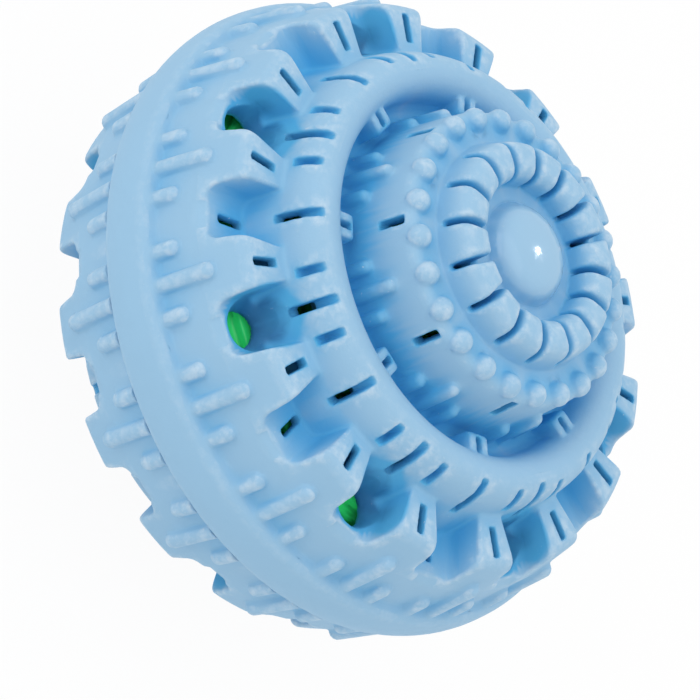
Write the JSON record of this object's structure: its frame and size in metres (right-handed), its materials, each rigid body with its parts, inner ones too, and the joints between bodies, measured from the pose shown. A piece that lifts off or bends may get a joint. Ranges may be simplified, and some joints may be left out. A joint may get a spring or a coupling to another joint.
{
  "type": "laundry ball",
  "caption": "Ribbed rubber washing ball in two push-together halves, with scooped windows and a basket of loose ceramic beads inside.",
  "frame": {"origin": "on the ball's axis, at the level of the rear finger ring that it lies on", "axes": "+Z along the ball's axis, from the rear button to the front button; +X through a window"},
  "size_m": [0.1006, 0.1006, 0.0792],
  "materials": {
    "shell_rubber": "matte moulded",
    "basket_plastic": "satin moulded",
    "bead_white": "unglazed",
    "bead_beige": "unglazed",
    "bead_red": "unglazed",
    "bead_grey": "unglazed"
  },
  "bodies": {
    "rear_half": {"rear_shell": "shell_rubber", "rear_basket": "basket_plastic"},
    "front_half": {"front_shell": "shell_rubber"},
    "basket_lid": {"front_basket": "basket_plastic"},
    "inner_beads": {"bead_0_1": "bead_white", "bead_1_1": "bead_beige", "bead_1_2": "bead_red", "bead_1_3": "bead_grey", "bead_1_4": "bead_white", "bead_1_5": "bead_beige", "bead_1_6": "bead_red"},
    "outer_beads": {"bead_2_1": "bead_red", "bead_2_2": "bead_grey", "bead_2_3": "bead_white", "bead_2_4": "bead_beige", "bead_2_5": "bead_red", "bead_2_6": "bead_grey", "bead_2_7": "bead_white", "bead_2_8": "bead_beige", "bead_2_9": "bead_red", "bead_2_10": "bead_grey", "bead_2_11": "bead_white", "bead_2_12": "bead_beige"}
  },
  "joints": [
    {"name": "front_half_lift", "type": "slide", "parent": "rear_half", "child": "front_half", "axis": [0, 0, 1], "range_m": [0, 0.06]},
    {"name": "basket_lid_lift", "type": "slide", "parent": "rear_half", "child": "basket_lid", "axis": [0, 0, 1], "range_m": [0, 0.03]},
    {"name": "inner_beads_roll", "type": "hinge", "parent": "rear_half", "child": "inner_beads", "pos_m": [0, 0, 0.0295], "axis": [0, 0, 1], "continuous": true},
    {"name": "outer_beads_roll", "type": "hinge", "parent": "rear_half", "child": "outer_beads", "pos_m": [0, 0, 0.0295], "axis": [0, 0, 1], "continuous": true}
  ],
  "couplings": [
    {"joint": "basket_lid_lift", "follows": "front_half_lift", "ratio": 0.5}
  ]
}
